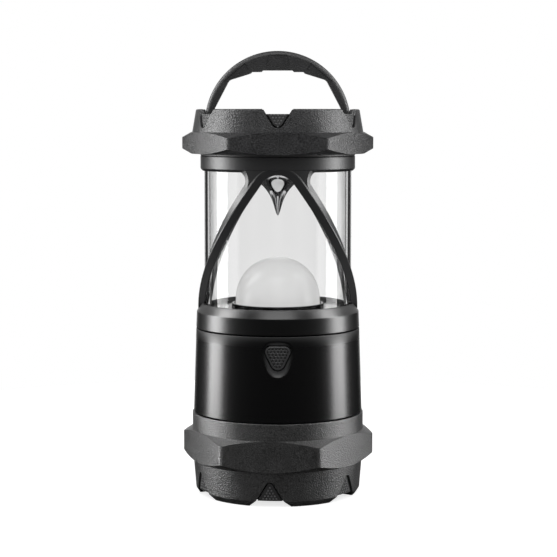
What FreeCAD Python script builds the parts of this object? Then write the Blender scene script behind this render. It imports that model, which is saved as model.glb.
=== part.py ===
import FreeCAD, Part
import math
import os

# Battery lantern: screw-off base, body with a push button, caged lens and a cap with a folding bail.
# Millimetres. +Z is up, the origin is under the middle of the foot, and the button faces -Y.

Vector = FreeCAD.Vector
UP = Vector(0, 0, 1)
CENTRE = Vector(0, 0, 0)

# Stack of heights, from the surface it stands on to the top of the cap
base_height = 37.3
body_height = 37.9
lower_ring_height = 11.3
window_height = 60.0
upper_ring_height = 6.7
cap_height = 20.8

# Outside radii
foot_radius = 37.4
foot_bevel_width = 1.6
foot_bevel_height = 2.4
base_waist_radius = 38.5
base_collar_radius = 38.9
body_bottom_radius = 38.35
body_top_radius = 37.1
lower_ring_radius = 36.8
upper_ring_radius = 34.9
cap_foot_radius = 38.7
cap_top_radius = 36.8

# Hexagonal guards: crowned faces, rounded corners and a cone turned off above and below
base_hex_face = 39.2
base_hex_corner = 43.8
base_hex_bottom = 15.6
base_hex_height = 14.0
base_hex_edge_height = 8.0
cap_hex_face = 39.1
cap_hex_corner = 43.5
cap_hex_height = 9.6
cap_hex_edge_height = 4.5
hex_corner_round = 4.5
cap_hex_gap = 1.0

# Notches in the rims of the guards
notch_count = 6
cap_notch_half_width = 6.75
cap_notch_slope = 0.61
cap_notch_round = 3.0
foot_notch_flare = 9.3
foot_notch_half_width = 6.1
foot_notch_slope = 0.577
foot_notch_round = 2.0
notch_pad_gap = 0.5
notch_pad_drop = 0.7
notch_pad_round = 0.45
notch_pad_bed = 0.6

# Base: a threaded cup inside the guard, turned a little where its thread comes to a stop
base_stop_angle = -5.4
floor_lift = 2.8
floor_thickness = 2.0
base_waist_wall = 4.1
foot_wall = 3.0
core_wall = 1.4
core_collar_wall = 1.3
core_step_height = 2.8
base_collar_wall = 1.7
core_rim_drop = 0.2
foot_lip = 3.4
base_pad_radius = 24.0
base_pad_width = 6.0
base_pad_thickness = 0.6

# Screw thread between base and body
thread_pitch = 4.0
thread_turns = 0.95
thread_height = 0.95
thread_root_width = 2.0
thread_crest_width = 1.0
spigot_shoulder = 3.75
spigot_wall = 2.4
spigot_length = 8.7
spigot_end_gap = 0.6
thread_start_rise = 1.6
base_thread_first_turn = -0.55
thread_bed = 0.3
oring_section = 0.8
oring_drop = 1.3
oring_proud = 0.1

# Body
body_wall = 3.0
body_neck_height = 2.2
base_seam_gap = 0.5
cage_seam_gap = 0.55
seam_bevel = 0.25
bulkhead_thickness = 1.6
bulkhead_depth = 12.5
flange_thickness = 2.0
flange_depth = 2.7
flange_width = 3.8
rib_count = 3
rib_width = 3.0
rib_lap = 1.0
rib_bed = 0.8
rib_end_rise = 1.4

# Push button, drawn on the front of the body
button_half_width = 7.1
button_top_drop = 4.05
button_drop = 14.2
button_round = 2.5
button_tip_round = 3.0
button_travel = 1.0
button_gap = 0.55
button_flange_margin = 1.3
button_flange_thickness = 0.8
button_flange_setback = 1.0
button_face_round = 0.5
button_face_setback = 0.9
button_rim = 0.85
button_recess = 0.5
dish_width = 2.8
dish_depth = 1.0
plunger_radius = 1.2
plunger_gap = 0.3
switch_size = 5.6
switch_depth = 3.4
switch_back_wall = 0.6
switch_gap = 0.6
switch_board_half_width = 6.0
switch_board_thickness = 1.2

# Battery cells of standard size AA in their carrier
cell_count = 6
cell_radius = 7.25
cell_length = 50.5
cell_nub_radius = 2.75
cell_nub_height = 1.3
carrier_rim = 2.65
carrier_gap = 0.8
carrier_plate = 1.5
core_flute_inset = 2.5
carrier_core_bore = 8.0
contact_thickness = 0.4
cell_spring_length = 1.6
cell_spring_radius = 3.4
cell_spring_wire = 0.2
cell_spring_turns = 1.5
cell_bay_gap = 0.2
strip_inset = 2.0
strip_margin_angle = 12.0
carrier_screw_inset = 4.0
carrier_screw_radius = 1.2
carrier_screw_depth = 8.0
carrier_head_radius = 2.2
carrier_head_height = 1.0
terminal_radius = 5.0
terminal_ring_circle = 12.0
terminal_ring_width = 6.0

# Electronics
contact_hole_radius = 3.6
contact_spring_radius = 2.4
contact_spring_wire = 0.3
contact_spring_turns = 4
driver_lift = 1.8
driver_board_radius = 25.0
driver_post_circle = 20.0
driver_post_radius = 2.5
component_circle = 11.0
inductor_radius = 4.5
inductor_height = 4.0
capacitor_radius = 2.6
capacitor_height = 4.2
controller_size = 5.0
controller_height = 1.6
lead_radius = 0.7
lead_spacing = 2.6
lead_offset = 14.0
lead_hole_radius = 3.4

# Lens, cage and light
upper_ring_wall = 1.6
lower_ring_wall = 3.5
body_rim_wall = 3.8
lens_wall = 2.1
lens_seat_height = 2.6
lens_seat_width = 5.3
lens_top_depth = 3.5
seal_thickness = 1.2
cage_bore_gap = 0.05
lower_ring_bevel = 3.6
lower_ring_lip = 1.1
upper_ring_bevel = 1.1
upper_ring_lip = 0.6
arm_half_width = 3.05
arm_lens_gap = 0.15
arm_foot_depth = 6.5
arm_foot_sink = 0.6
arm_sink = 0.1
arm_root = 0.4
arm_ridge_half = 0.2
arm_slope = 52.5
arch_round = 9.4
arch_drop = 1.1
arm_reference_radius = 35.7
web_round = 4.2
web_bevel = 2.2
web_top_rise = 2.0
web_sink = 0.2
web_lens_gap = 0.22
housing_screw_inset = 2.7
housing_screw_radius = 1.2
housing_head_radius = 2.1
housing_head_height = 1.4
dome_radius = 19.3
dome_wall = 1.6
dome_straight = 3.5
dome_draft = 0.2
dome_height = 22.6
dome_flange_thickness = 1.9
dome_deck_gap = 0.4
deck_thickness = 2.0
deck_skirt = 2.3
bezel_width = 1.2
bezel_height = 1.6
deck_lens_gap = 0.3
deck_screw_margin = 3.0
deck_screw_radius = 1.1
deck_head_radius = 2.0
small_head_height = 1.1
dome_flange_width = 2.9
led_screw_gap = 0.1
led_screw_radius = 1.0
led_head_radius = 1.9
board_thickness = 1.6
led_count = 8
led_circle = 9.0
led_size = 3.5
led_height = 0.9
sink_flange = 1.7
sink_fin_height = 2.5
sink_fin_thickness = 1.4
sink_fin_spacing = 5.0
sink_fins_each_side = 4
sink_throat_gap = 0.1
sink_body_drop = 0.2
horn_tip_radius = 0.93
horn_growth = 0.15
horn_point_radius = 0.25
horn_point_height = 1.5
horn_tip_drop = 20.3
horn_rim_gap = 0.6
horn_wall = 1.5
horn_post_radius = 3.0

# Cap and bail
cap_guard_wall = 3.8
cap_rim_wall = 1.9
cap_collar_wall = 1.5
cap_collar_drop = 2.2
cap_well_depth = 13.5
deck_plate = 2.2
cap_skirt_lap = 0.1
cap_step_gap = 0.2
cap_screw_circle = 21.0
cap_screw_radius = 1.25
cap_screw_depth = 5.5
cap_head_radius = 2.3
cap_head_height = 1.4
pivot_drop = 6.8
pivot_pin_radius = 1.6
bail_well_gap = 0.6
bail_depth = 9.0
bail_arm_width = 4.4
bail_arm_rise = 7.3
bail_elbow_x = 21.8
bail_elbow_rise = 19.8
bail_grip_rise = 24.2
bail_elbow_round = 3.0
bail_edge_round = 2.0
grip_outer_step = 12.2
grip_inner_step = 7.3
grip_step = 0.7
panel_depth = 0.4
panel_margin = 1.7
panel_half_width = 5.6
panel_taper = 1.3
side_panel_low = 38.0
side_panel_high = 62.0
side_panel_foot_width = 1.9
side_panel_top_width = 3.6

# Small details shared by many pieces
fine_round = 0.3
edge_round = 0.8
slot_width = 0.5

# Clearances: fitted pieces of one body, a pin in its bore, and pieces that pass each other
seat_gap = 0.05
pin_gap = 0.05
moving_gap = 0.35

# Levels that follow from the stack
body_top = base_height + body_height
lower_ring_top = body_top + lower_ring_height
upper_ring_bottom = lower_ring_top + window_height
upper_ring_top = upper_ring_bottom + upper_ring_height
cap_top = upper_ring_top + cap_height
pivot_z = cap_top - pivot_drop
floor_top = floor_lift + floor_thickness
lens_seat = body_top + lens_seat_height
lens_bottom = lens_seat + seal_thickness
lens_top = upper_ring_bottom + lens_top_depth
cap_bottom = lens_top + seal_thickness
bulkhead_bottom = body_top - bulkhead_depth
bulkhead_top = bulkhead_bottom + bulkhead_thickness
flange_top = body_top - flange_depth
under_flange = flange_top - flange_thickness
carrier_bottom = floor_top + base_pad_thickness + moving_gap
cell_floor = carrier_bottom + carrier_plate
cell_room = contact_thickness + cell_spring_length + cell_length + contact_thickness
cell_ceiling = cell_floor + cell_room
carrier_top = cell_ceiling + carrier_plate
spigot_bottom = base_height - spigot_length
thread_level = spigot_bottom + thread_start_rise
base_rim = base_height - base_seam_gap / 2
body_shoulder = base_height + base_seam_gap / 2
sink_top = lens_seat + sink_flange
board_top = sink_top + board_thickness
deck_bottom = board_top + dome_flange_thickness
deck_top = deck_bottom + deck_thickness
driver_bottom = bulkhead_top + driver_lift
driver_top = driver_bottom + board_thickness
button_top = body_top - button_top_drop
switch_z = (bulkhead_top + under_flange) / 2
switch_board_reach = (under_flange - bulkhead_top) / 2 - seat_gap
button_z = button_top - button_drop / 3
body_taper = (body_bottom_radius - body_top_radius) / body_height
button_front = body_taper * (button_z - base_height) - body_bottom_radius
button_flange_front = button_front + body_wall + button_flange_setback
switch_front = button_flange_front + button_flange_thickness + button_travel + switch_gap
arm_lean = math.radians(arm_slope)
crown_radius = arch_round + arm_half_width
crown_centre = upper_ring_bottom - arch_drop - arch_round
deck_level = cap_top - cap_well_depth
cap_ceiling = deck_level - deck_plate
horn_tip = upper_ring_bottom - horn_tip_drop
cap_guard_bottom = upper_ring_top + cap_hex_gap

# Radii that follow from the outside, working inwards
thread_room = thread_height + moving_gap
spigot_radius = min(base_collar_radius - base_collar_wall - core_collar_wall - thread_room,
                    body_bottom_radius - spigot_shoulder)
spigot_bore = spigot_radius - spigot_wall
thread_bore = spigot_radius + thread_room
core_collar_radius = thread_bore + core_collar_wall
core_radius = min(base_waist_radius - base_waist_wall, foot_radius - foot_wall)
carrier_radius = min(core_radius - core_wall, spigot_bore, body_top_radius - body_wall) - carrier_gap
rib_reach = carrier_radius - rib_lap
cell_circle = carrier_radius - carrier_rim - cell_radius
carrier_core_radius = cell_circle - core_flute_inset
carrier_screw_circle = carrier_core_radius - carrier_screw_inset
lens_radius = min(upper_ring_radius - upper_ring_wall, lower_ring_radius - lower_ring_wall,
                  body_top_radius - body_rim_wall)
lens_bore = lens_radius - lens_wall
lens_seat_bore = lens_radius - lens_seat_width
cage_bore = lens_radius + cage_bore_gap
flange_bore = lens_radius - flange_width
housing_screw_circle = lens_radius - housing_screw_inset
light_radius = lens_bore - deck_lens_gap
led_board_radius = dome_radius + dome_flange_width
led_screw_circle = dome_radius - dome_wall - led_head_radius - led_screw_gap
deck_screw_circle = led_board_radius + deck_screw_margin
horn_rim_radius = lens_bore - horn_rim_gap
cap_skirt_bore = horn_rim_radius - horn_wall - cap_skirt_lap
cap_collar_radius = min(cap_foot_radius - cap_guard_wall, cap_top_radius - cap_rim_wall)
cap_well_radius = cap_collar_radius - cap_collar_wall
bail_radius = cap_well_radius - bail_well_gap


# Helpers

def cylinder(radius, bottom, top, x=0.0, y=0.0):
    return Part.makeCylinder(radius, top - bottom, Vector(x, y, bottom))


def tube(outer, inner, bottom, top):
    return cylinder(outer, bottom, top).cut(cylinder(inner, bottom, top))


def block(x_low, x_high, y_low, y_high, z_low, z_high):
    return Part.makeBox(x_high - x_low, y_high - y_low, z_high - z_low, Vector(x_low, y_low, z_low))


def rod_along(axis, radius, start, end, z):
    """A rod along X or Y through the axis of the lantern, at the given height."""
    way = Vector(1, 0, 0) if axis == "x" else Vector(0, 1, 0)
    return Part.makeCylinder(radius, end - start, way * start + UP * z, way)


def joined(shapes):
    return shapes[0].multiFuse(shapes[1:]).removeSplitter()


def turned_by(shape, degrees):
    return shape.rotated(CENTRE, UP, degrees)


def spread_angles(count, first=0.0):
    return [first + 360.0 * i / count for i in range(count)]


def around(shape, count):
    """Copies of a shape spaced evenly round the axis."""
    return [turned_by(shape, angle) for angle in spread_angles(count)]


def at_angle(shape, degrees, radius):
    """A shape drawn on the axis, moved out to a radius and round to an angle."""
    return turned_by(shape.translated(Vector(radius, 0, 0)), degrees)


def group(shapes):
    return Part.makeCompound(shapes)


def rounded_wire(corners, place):
    """A closed outline. Each corner is (u, v) or (u, v, radius), and place puts (u, v) in space."""
    count = len(corners)
    ends = []
    for i in range(count):
        u, v = corners[i][0], corners[i][1]
        radius = corners[i][2] if len(corners[i]) > 2 else 0.0
        if radius == 0.0:
            ends.append([(u, v)])
            continue
        before, after = corners[i - 1], corners[(i + 1) % count]
        to_before = math.atan2(before[1] - v, before[0] - u)
        to_after = math.atan2(after[1] - v, after[0] - u)
        half = abs((to_after - to_before + math.pi) % (2 * math.pi) - math.pi) / 2
        reach = radius / math.tan(half)
        start = (u + reach * math.cos(to_before), v + reach * math.sin(to_before))
        end = (u + reach * math.cos(to_after), v + reach * math.sin(to_after))
        middle_u, middle_v = (start[0] + end[0]) / 2 - u, (start[1] + end[1]) / 2 - v
        to_centre = radius / math.sin(half)
        length = math.hypot(middle_u, middle_v)
        share = (to_centre - radius) / length
        ends.append([start, (u + middle_u * share, v + middle_v * share), end])
    edges = []
    for i in range(count):
        here, following = ends[i], ends[(i + 1) % count]
        if len(here) == 3:
            edges.append(Part.Arc(*[place(*point) for point in here]).toShape())
        start, end = place(*here[-1]), place(*following[0])
        if start.distanceToPoint(end) > 1e-6:
            edges.append(Part.makeLine(start, end))
    return Part.Wire(edges)


def turned(corners):
    """A solid of revolution from an outline of (radius, height) corners."""
    wire = rounded_wire(corners, lambda r, z: Vector(r, 0, z))
    return Part.Face(wire).revolve(CENTRE, UP, 360)


def pushed_along_y(corners, y_low, y_high):
    """A prism along Y from an outline of (x, z) corners."""
    wire = rounded_wire(corners, lambda x, z: Vector(x, y_low, z))
    return Part.Face(wire).extrude(Vector(0, y_high - y_low, 0))


def smooth_edge(points):
    """A smooth curve through (radius, height) points."""
    curve = Part.BSplineCurve()
    curve.interpolate([Vector(r, 0, z) for r, z in points])
    return curve.toShape()


def spun(edges):
    return Part.Face(Part.Wire(edges)).revolve(CENTRE, UP, 360)


def line(start, end):
    return Part.makeLine(Vector(start[0], 0, start[1]), Vector(end[0], 0, end[1]))


def screw(head_radius, head_height, shank_radius, seat, tip):
    """A slotted screw on the axis. Its head sits on the height seat and its shank ends at the height tip."""
    away = 1 if seat > tip else -1
    head_end = seat + away * head_height
    slot_end = head_end - away * head_height / 2
    head = cylinder(head_radius, min(seat, head_end), max(seat, head_end))
    shank = cylinder(shank_radius, min(seat, tip), max(seat, tip))
    half = slot_width / 2
    slot = block(-head_radius, head_radius, -half, half, min(slot_end, head_end), max(slot_end, head_end))
    return head.fuse(shank).cut(slot).removeSplitter()


def coil(radius, wire_radius, turns, bottom, top):
    """A compression spring on the axis between two heights."""
    rise = (top - bottom - 2 * wire_radius) / turns

    def point(turn):
        angle = 2 * math.pi * turn
        return Vector(radius * math.cos(angle), radius * math.sin(angle), bottom + wire_radius + rise * turn)

    curve = Part.BSplineCurve()
    curve.interpolate([point(i / 8) for i in range(round(8 * turns) + 1)])
    path = curve.toShape()
    start = path.tangentAt(path.FirstParameter)
    wire = Part.Wire(Part.makeCircle(wire_radius, point(0), start))
    return Part.Wire(path).makePipeShell([wire], True, True)


def thread_ridge(root, crest, first_turn, turns, level):
    """A helical ridge. Its middle is at the height level where the turn count is zero."""
    sign = math.copysign(1.0, crest - root)
    sunk = root - sign * thread_bed
    path = Part.makeHelix(thread_pitch, thread_pitch * turns, root)
    half_root, half_crest = thread_root_width / 2, thread_crest_width / 2
    corners = [(sunk, -half_root), (root, -half_root), (crest, -half_crest), (crest, half_crest),
               (root, half_root), (sunk, half_root)]
    profile = rounded_wire(corners, lambda r, z: Vector(r, 0, z))
    ridge = Part.Wire(path.Edges).makePipeShell([profile], True, True)
    return turned_by(ridge, 360.0 * first_turn).translated(Vector(0, 0, level + thread_pitch * first_turn))


def hex_band(face, corner, bottom, height, edge_height):
    """A hexagonal guard with crowned faces, and a cone turned off its corners above and below."""
    edges = []
    for i in range(6):
        start, middle, end = [math.radians(60.0 * i + step) for step in (0, 30, 60)]
        points = [Vector(r * math.cos(a), r * math.sin(a), bottom)
                  for r, a in ((corner, start), (face, middle), (corner, end))]
        edges.append(Part.Arc(*points).toShape())
    prism = Part.Face(Part.Wire(edges)).extrude(Vector(0, 0, height))
    upright = [e for e in prism.Edges if abs(e.BoundBox.ZLength - height) < 1e-6]
    prism = prism.makeFillet(hex_corner_round, upright)
    reach = prism.BoundBox.XMax
    cone = (height - edge_height) / 2
    top = bottom + height
    turning = turned([(0, bottom), (face, bottom), (reach, bottom + cone), (reach, top - cone), (face, top),
                      (0, top)])
    return prism.common(turning)


def notch_pad(notch, wall, low, high, low_face, high_face):
    """A pad on a round wall that fills the front notch almost flush, rounded along the notch."""
    bed = wall - notch_pad_bed
    pad = turned([(bed, low), (low_face, low), (high_face, high), (bed, high)]).common(notch)
    face = max(pad.Faces, key=lambda side: side.Area if side.Surface.TypeId == "Part::GeomCone" else 0.0)
    beside_notch = [edge for edge in face.Edges if edge.BoundBox.ZLength > notch_pad_round]
    return pad.makeFillet(notch_pad_round, beside_notch)


# Base

def core_outline(gap):
    """The step in the outside of the base's cup, moved out by a gap."""
    step_top = base_hex_bottom + core_step_height
    return [(core_radius + gap, base_hex_bottom), (core_collar_radius + gap, step_top)]


def base_core():
    (low_r, low_z), (high_r, high_z) = core_outline(0.0)
    top = base_rim - core_rim_drop
    shoulder = spigot_bottom - spigot_end_gap
    inside = core_radius - core_wall
    cup = turned([(0, floor_lift), (low_r, floor_lift), (low_r, low_z), (high_r, high_z), (high_r, top),
                  (thread_bore, top), (thread_bore, shoulder), (inside, shoulder),
                  (inside, floor_top, edge_round), (0, floor_top)])
    cup = joined([cup] + [turned_by(pad, base_stop_angle) for pad in around(foot_pad(), notch_count)])
    level = thread_level + thread_pitch / 2
    crest = thread_bore - thread_height
    return cup.fuse(thread_ridge(thread_bore, crest, base_thread_first_turn, thread_turns, level))


def foot_notch(inset):
    """One notch of the foot, on the front, taken in by an inset."""
    rise = foot_notch_half_width / foot_notch_slope - inset / math.sin(math.atan(foot_notch_slope))
    flare = foot_notch_flare - inset
    right = [(rise * foot_notch_slope, floor_lift), (flare, 0), (flare, -1)]
    left = [(-x, z) for x, z in reversed(right)]
    top = (0, floor_lift + rise, foot_notch_round - inset)
    inside_the_lip = (core_radius - foot_lip) / 2
    return pushed_along_y([top] + right + left, -base_hex_corner, -inside_the_lip)


def foot_pad():
    flare = (base_waist_radius - foot_radius) / (base_hex_bottom - foot_bevel_height)
    high = floor_lift + foot_notch_half_width / foot_notch_slope
    low_face, high_face = [foot_radius + flare * (z - foot_bevel_height) - notch_pad_drop
                           for z in (floor_lift, high)]
    return notch_pad(foot_notch(notch_pad_gap), core_radius, floor_lift, high, low_face, high_face)


def base_bumper():
    (low_r, low_z), (high_r, high_z) = core_outline(seat_gap)
    lip = core_radius - foot_lip
    lip_top = floor_lift - seat_gap
    hex_top = base_hex_bottom + base_hex_height
    skin = turned([(lip, 0, fine_round), (foot_radius - foot_bevel_width, 0, fine_round),
                   (foot_radius, foot_bevel_height, edge_round), (base_waist_radius, base_hex_bottom),
                   (base_collar_radius, hex_top), (base_collar_radius, base_rim, seam_bevel),
                   (high_r, base_rim), (high_r, high_z), (low_r, low_z), (low_r, lip_top),
                   (lip, lip_top, fine_round)])
    band = hex_band(base_hex_face, base_hex_corner, base_hex_bottom, base_hex_height, base_hex_edge_height)
    hollow = turned([(0, low_z), (low_r, low_z), (high_r, high_z), (high_r, hex_top), (0, hex_top)])
    guard = joined([skin, band.cut(hollow)])
    for cutter in around(foot_notch(0.0), notch_count):
        guard = guard.cut(cutter)
    return turned_by(guard, base_stop_angle)


def base_pad():
    return tube(base_pad_radius, base_pad_radius - base_pad_width, floor_top, floor_top + base_pad_thickness)


# Battery carrier

def rib_angles():
    return spread_angles(rib_count, 90.0)


def carrier_screw_angles():
    return spread_angles(3, 30.0)


def carrier_disc(bottom, top):
    """An end plate of the carrier, slotted for the ribs inside the body."""
    disc = cylinder(carrier_radius, bottom, top)
    half_width = rib_width / 2 + moving_gap
    slot = block(rib_reach - moving_gap, carrier_radius + 1, -half_width, half_width, bottom, top)
    for angle in rib_angles():
        disc = disc.cut(turned_by(slot, angle))
    return disc


def carrier_bottom_plate():
    plate = carrier_disc(carrier_bottom, cell_floor)
    hole = cylinder(carrier_screw_radius, carrier_bottom, cell_floor)
    recess = cylinder(carrier_head_radius + seat_gap, carrier_bottom, carrier_bottom + carrier_head_height)
    for angle in carrier_screw_angles():
        plate = plate.cut(at_angle(hole.fuse(recess), angle, carrier_screw_circle))
    return plate


def carrier_top_plate():
    return carrier_disc(cell_ceiling, carrier_top)


def carrier_core():
    """The fluted post between the cells, relieved at both ends for the link strips."""
    core = tube(carrier_core_radius, carrier_core_bore, cell_floor, cell_ceiling)
    bay = cylinder(cell_radius + cell_bay_gap, cell_floor, cell_ceiling)
    for angle in spread_angles(cell_count):
        core = core.cut(at_angle(bay, angle, cell_circle))
    inner = cell_circle - cell_radius
    for level in (cell_floor, cell_ceiling - contact_thickness):
        core = core.cut(tube(cell_circle + cell_radius, inner, level, level + contact_thickness))
    hole = cylinder(carrier_screw_radius, cell_floor, cell_floor + carrier_screw_depth)
    for angle in carrier_screw_angles():
        core = core.cut(at_angle(hole, angle, carrier_screw_circle))
    return core


def carrier_screws():
    seat = carrier_bottom + carrier_head_height
    tip = cell_floor + carrier_screw_depth
    one = screw(carrier_head_radius, carrier_head_height, carrier_screw_radius, seat, tip)
    return group([at_angle(one, angle, carrier_screw_circle) for angle in carrier_screw_angles()])


def battery_cell(upright):
    """One cell standing on its own spring, or hanging from it the other way up."""
    shoulder = cell_length - cell_nub_height
    can = turned([(0, 0), (cell_radius, 0, edge_round), (cell_radius, shoulder, edge_round),
                  (cell_nub_radius, shoulder), (cell_nub_radius, cell_length, fine_round), (0, cell_length)])
    low = cell_floor + contact_thickness
    if upright:
        return can.translated(Vector(0, 0, low + cell_spring_length))
    return can.rotated(CENTRE, Vector(1, 0, 0), 180).translated(Vector(0, 0, low + cell_length))


def alternating(even, odd):
    """Two shapes taking turns round the circle of cells."""
    angles = spread_angles(cell_count)
    return group([at_angle(odd if i % 2 else even, angle, cell_circle) for i, angle in enumerate(angles)])


def battery_cells():
    return alternating(battery_cell(True), battery_cell(False))


def cell_spring(bottom):
    return coil(cell_spring_radius, cell_spring_wire, cell_spring_turns, bottom, bottom + cell_spring_length)


def cell_springs():
    low = cell_floor + contact_thickness
    high = cell_ceiling - contact_thickness - cell_spring_length
    return alternating(cell_spring(low), cell_spring(high))


def link_strip(first, cells, bottom):
    """A flat strip that joins neighbouring cells, counted from its first cell."""
    step = 360.0 / cell_count
    top = bottom + contact_thickness
    sweep = step * (cells - 1) + 2 * strip_margin_angle
    reach = cell_radius - strip_inset
    sector = Part.makeCylinder(cell_circle + reach, contact_thickness, Vector(0, 0, bottom), UP, sweep)
    strip = sector.cut(cylinder(cell_circle - reach, bottom, top))
    return turned_by(strip, step * first - strip_margin_angle)


def cell_contacts():
    high = cell_ceiling - contact_thickness
    below = [link_strip(first, 2, cell_floor) for first in (0, 2, 4)]
    above = [link_strip(first, 2, high) for first in (1, 3)]
    ends = [link_strip(first, 1, high) for first in (0, 5)]
    return group(below + above + ends)


def carrier_terminals():
    top = carrier_top + contact_thickness
    half = terminal_ring_width / 2
    ring = tube(terminal_ring_circle + half, terminal_ring_circle - half, carrier_top, top)
    return group([cylinder(terminal_radius, carrier_top, top), ring])


# Body

def button_outline(grow):
    """The inverted triangle of the button, moved out by a margin."""
    half_angle = math.atan(button_half_width / button_drop)
    side = grow / math.tan(math.pi / 4 - half_angle / 2)
    drop = grow / math.sin(half_angle)
    radius = button_round + grow
    half_width = button_half_width + side
    top = button_top + grow
    tip = button_top - button_drop - drop
    return [(-half_width, top, radius), (0, tip, button_tip_round + grow), (half_width, top, radius)]


def dish():
    """The cutter for the hollow round the button: steeper towards its rim, which lies clear of the body."""
    rings = []
    for share in (0.0, 0.5, 0.75, 1.0, 1.25):
        y = button_front + dish_depth * (1 - share ** 2)
        rings.append(rounded_wire(button_outline(dish_width * share), lambda x, z: Vector(x, y, z)))
    return Part.makeLoft(rings, True, True)


def body_rib(inside, top):
    """One rib that the carrier's slots ride on, from the spigot up to the bulkhead."""
    half = rib_width / 2
    low = block(rib_reach, spigot_bore + rib_bed, -half, half, spigot_bottom + rib_end_rise, top)
    high = block(rib_reach, inside + rib_bed, -half, half, body_shoulder + body_neck_height, top)
    return low.fuse(high)


def body_shell():
    inner_bottom = body_bottom_radius - body_wall
    inner_top = body_top_radius - body_wall
    neck = body_shoulder + body_neck_height
    shell = turned([(spigot_bore, spigot_bottom, fine_round), (spigot_radius, spigot_bottom, fine_round),
                    (spigot_radius, body_shoulder), (body_bottom_radius, body_shoulder, seam_bevel),
                    (body_top_radius, body_top, seam_bevel), (lens_radius, body_top),
                    (lens_radius, flange_top), (flange_bore, flange_top), (flange_bore, under_flange),
                    (inner_top, under_flange), (inner_bottom, neck + inner_bottom - spigot_bore),
                    (spigot_bore, neck)])
    bulkhead = cylinder(inner_top + rib_bed, bulkhead_bottom, bulkhead_top)
    post = cylinder(driver_post_radius, bulkhead_bottom, driver_bottom)
    posts = [at_angle(post, angle, driver_post_circle) for angle in spread_angles(3, 90.0)]
    ribs = [turned_by(body_rib(inner_top, bulkhead_top), angle) for angle in rib_angles()]
    shell = joined([shell, bulkhead] + posts + ribs)
    opening = pushed_along_y(button_outline(button_gap), -2 * body_bottom_radius, button_flange_front)
    pocket_back = button_flange_front + button_flange_thickness + button_travel + moving_gap
    pocket_outline = button_outline(button_flange_margin + moving_gap)
    pocket = pushed_along_y(pocket_outline, button_flange_front, pocket_back)
    shell = shell.cut(base_oring()).cut(dish()).cut(opening).cut(pocket)
    for x, y in contact_places():
        shell = shell.cut(cylinder(contact_hole_radius, bulkhead_bottom, bulkhead_top, x, y))
    hole = cylinder(housing_screw_radius, under_flange, flange_top)
    for angle in housing_screw_angles():
        shell = shell.cut(at_angle(hole, angle, housing_screw_circle))
    crest = spigot_radius + thread_height
    return shell.fuse(thread_ridge(spigot_radius, crest, 0.0, thread_turns, thread_level))


def base_oring():
    return Part.makeTorus(spigot_radius + oring_proud, oring_section, Vector(0, 0, base_height - oring_drop))


# Electronics

def contact_places():
    return [(0.0, 0.0), (0.0, terminal_ring_circle)]


def contact_springs():
    bottom = carrier_top + contact_thickness + moving_gap
    one = coil(contact_spring_radius, contact_spring_wire, contact_spring_turns, bottom, driver_bottom)
    return group([one.translated(Vector(x, y, 0)) for x, y in contact_places()])


def driver_board():
    return cylinder(driver_board_radius, driver_bottom, driver_top)


def driver_components():
    inductor = cylinder(inductor_radius, driver_top, driver_top + inductor_height)
    capacitor = cylinder(capacitor_radius, driver_top, driver_top + capacitor_height)
    half = controller_size / 2
    controller = block(-half, half, -half, half, driver_top, driver_top + controller_height)
    return group([at_angle(inductor, 30.0, component_circle), at_angle(capacitor, 150.0, component_circle),
                  at_angle(controller, 270.0, component_circle)])


def led_leads():
    half = lead_spacing / 2
    return group([cylinder(lead_radius, driver_top, sink_top, x, lead_offset) for x in (-half, half)])


def tact_switch():
    half = switch_size / 2
    back = switch_front + switch_depth
    case = block(-half, half, switch_front, back, switch_z - half, switch_z + half)
    bore = rod_along("y", plunger_radius + plunger_gap, switch_front, back - switch_back_wall, switch_z)
    return case.cut(bore)


def switch_board():
    front = switch_front + switch_depth
    return block(-switch_board_half_width, switch_board_half_width, front, front + switch_board_thickness,
                 switch_z - switch_board_reach, switch_z + switch_board_reach)


def power_button():
    """The button, hollow inside its rim, with the flange that keeps it in and seals it from behind."""
    face = button_front + button_face_setback
    cap = pushed_along_y(button_outline(0.0), face, button_flange_front + button_flange_thickness)
    rim = [edge for edge in cap.Edges if edge.BoundBox.YMax < face + 1e-6]
    cap = cap.makeFillet(button_face_round, rim)
    cap = cap.cut(pushed_along_y(button_outline(-button_rim), face - button_recess, face + button_recess))
    flange = pushed_along_y(button_outline(button_flange_margin), button_flange_front,
                            button_flange_front + button_flange_thickness)
    return cap.fuse(flange).removeSplitter()


def switch_plunger():
    start = button_flange_front + button_flange_thickness
    end = switch_front + switch_depth - switch_back_wall - button_travel - plunger_gap
    return rod_along("y", plunger_radius, start, end, switch_z)


# Cage and lens

def housing_screw_angles():
    return spread_angles(4, 45.0)


def lower_ring():
    bottom = flange_top + seat_gap
    spigot = lens_radius - 2 * seat_gap
    ring_bottom = body_top + cage_seam_gap
    ring = turned([(lens_seat_bore, bottom), (spigot, bottom), (spigot, ring_bottom),
                   (body_top_radius, ring_bottom, seam_bevel),
                   (lower_ring_radius, lower_ring_top - lower_ring_bevel, edge_round),
                   (cage_bore + lower_ring_lip, lower_ring_top, fine_round), (cage_bore, lower_ring_top),
                   (cage_bore, lens_seat), (lens_seat_bore, lens_seat)])
    hole = cylinder(housing_screw_radius + pin_gap, bottom, lens_seat)
    recess = cylinder(housing_head_radius + pin_gap, lens_seat - housing_head_height, lens_seat)
    for angle in housing_screw_angles():
        ring = ring.cut(at_angle(hole.fuse(recess), angle, housing_screw_circle))
    return ring


def upper_ring():
    return turned([(cage_bore, upper_ring_bottom),
                   (cage_bore + upper_ring_lip, upper_ring_bottom, fine_round),
                   (upper_ring_radius, upper_ring_bottom + upper_ring_bevel, fine_round),
                   (upper_ring_radius, upper_ring_top, fine_round), (cage_bore, upper_ring_top)])


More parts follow.
